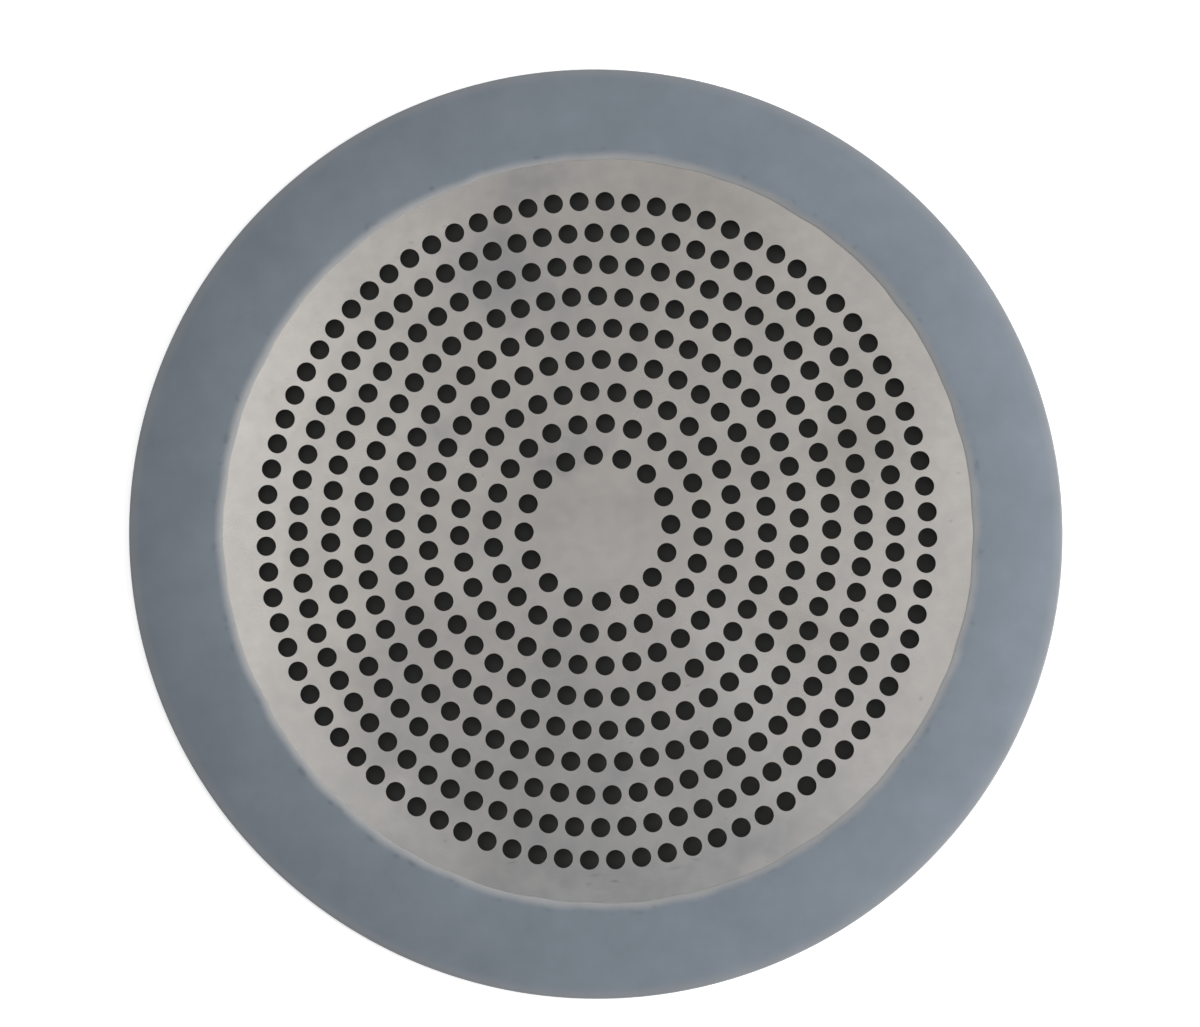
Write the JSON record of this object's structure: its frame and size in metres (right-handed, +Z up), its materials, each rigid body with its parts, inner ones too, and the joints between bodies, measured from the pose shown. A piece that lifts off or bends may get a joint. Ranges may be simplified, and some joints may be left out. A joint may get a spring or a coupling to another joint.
{
  "type": "shower drain strainer",
  "caption": "Low round hair strainer for a shower drain: a slightly crowned perforated steel disc, gripped at its edge by a wide soft rim that lies on the floor.",
  "frame": {"origin": "centre of the rim's underside, on the floor that the strainer lies on", "axes": "+Z up along the axis of the disc, +X through a hole of the innermost ring"},
  "size_m": [0.1454, 0.1454, 0.0045],
  "materials": {
    "steel_sheet": "satin, faintly clouded",
    "silicone": "matte, as moulded"
  },
  "bodies": {
    "root": {"perforated_disc": "steel_sheet", "silicone_rim": "silicone"}
  },
  "joints": []
}
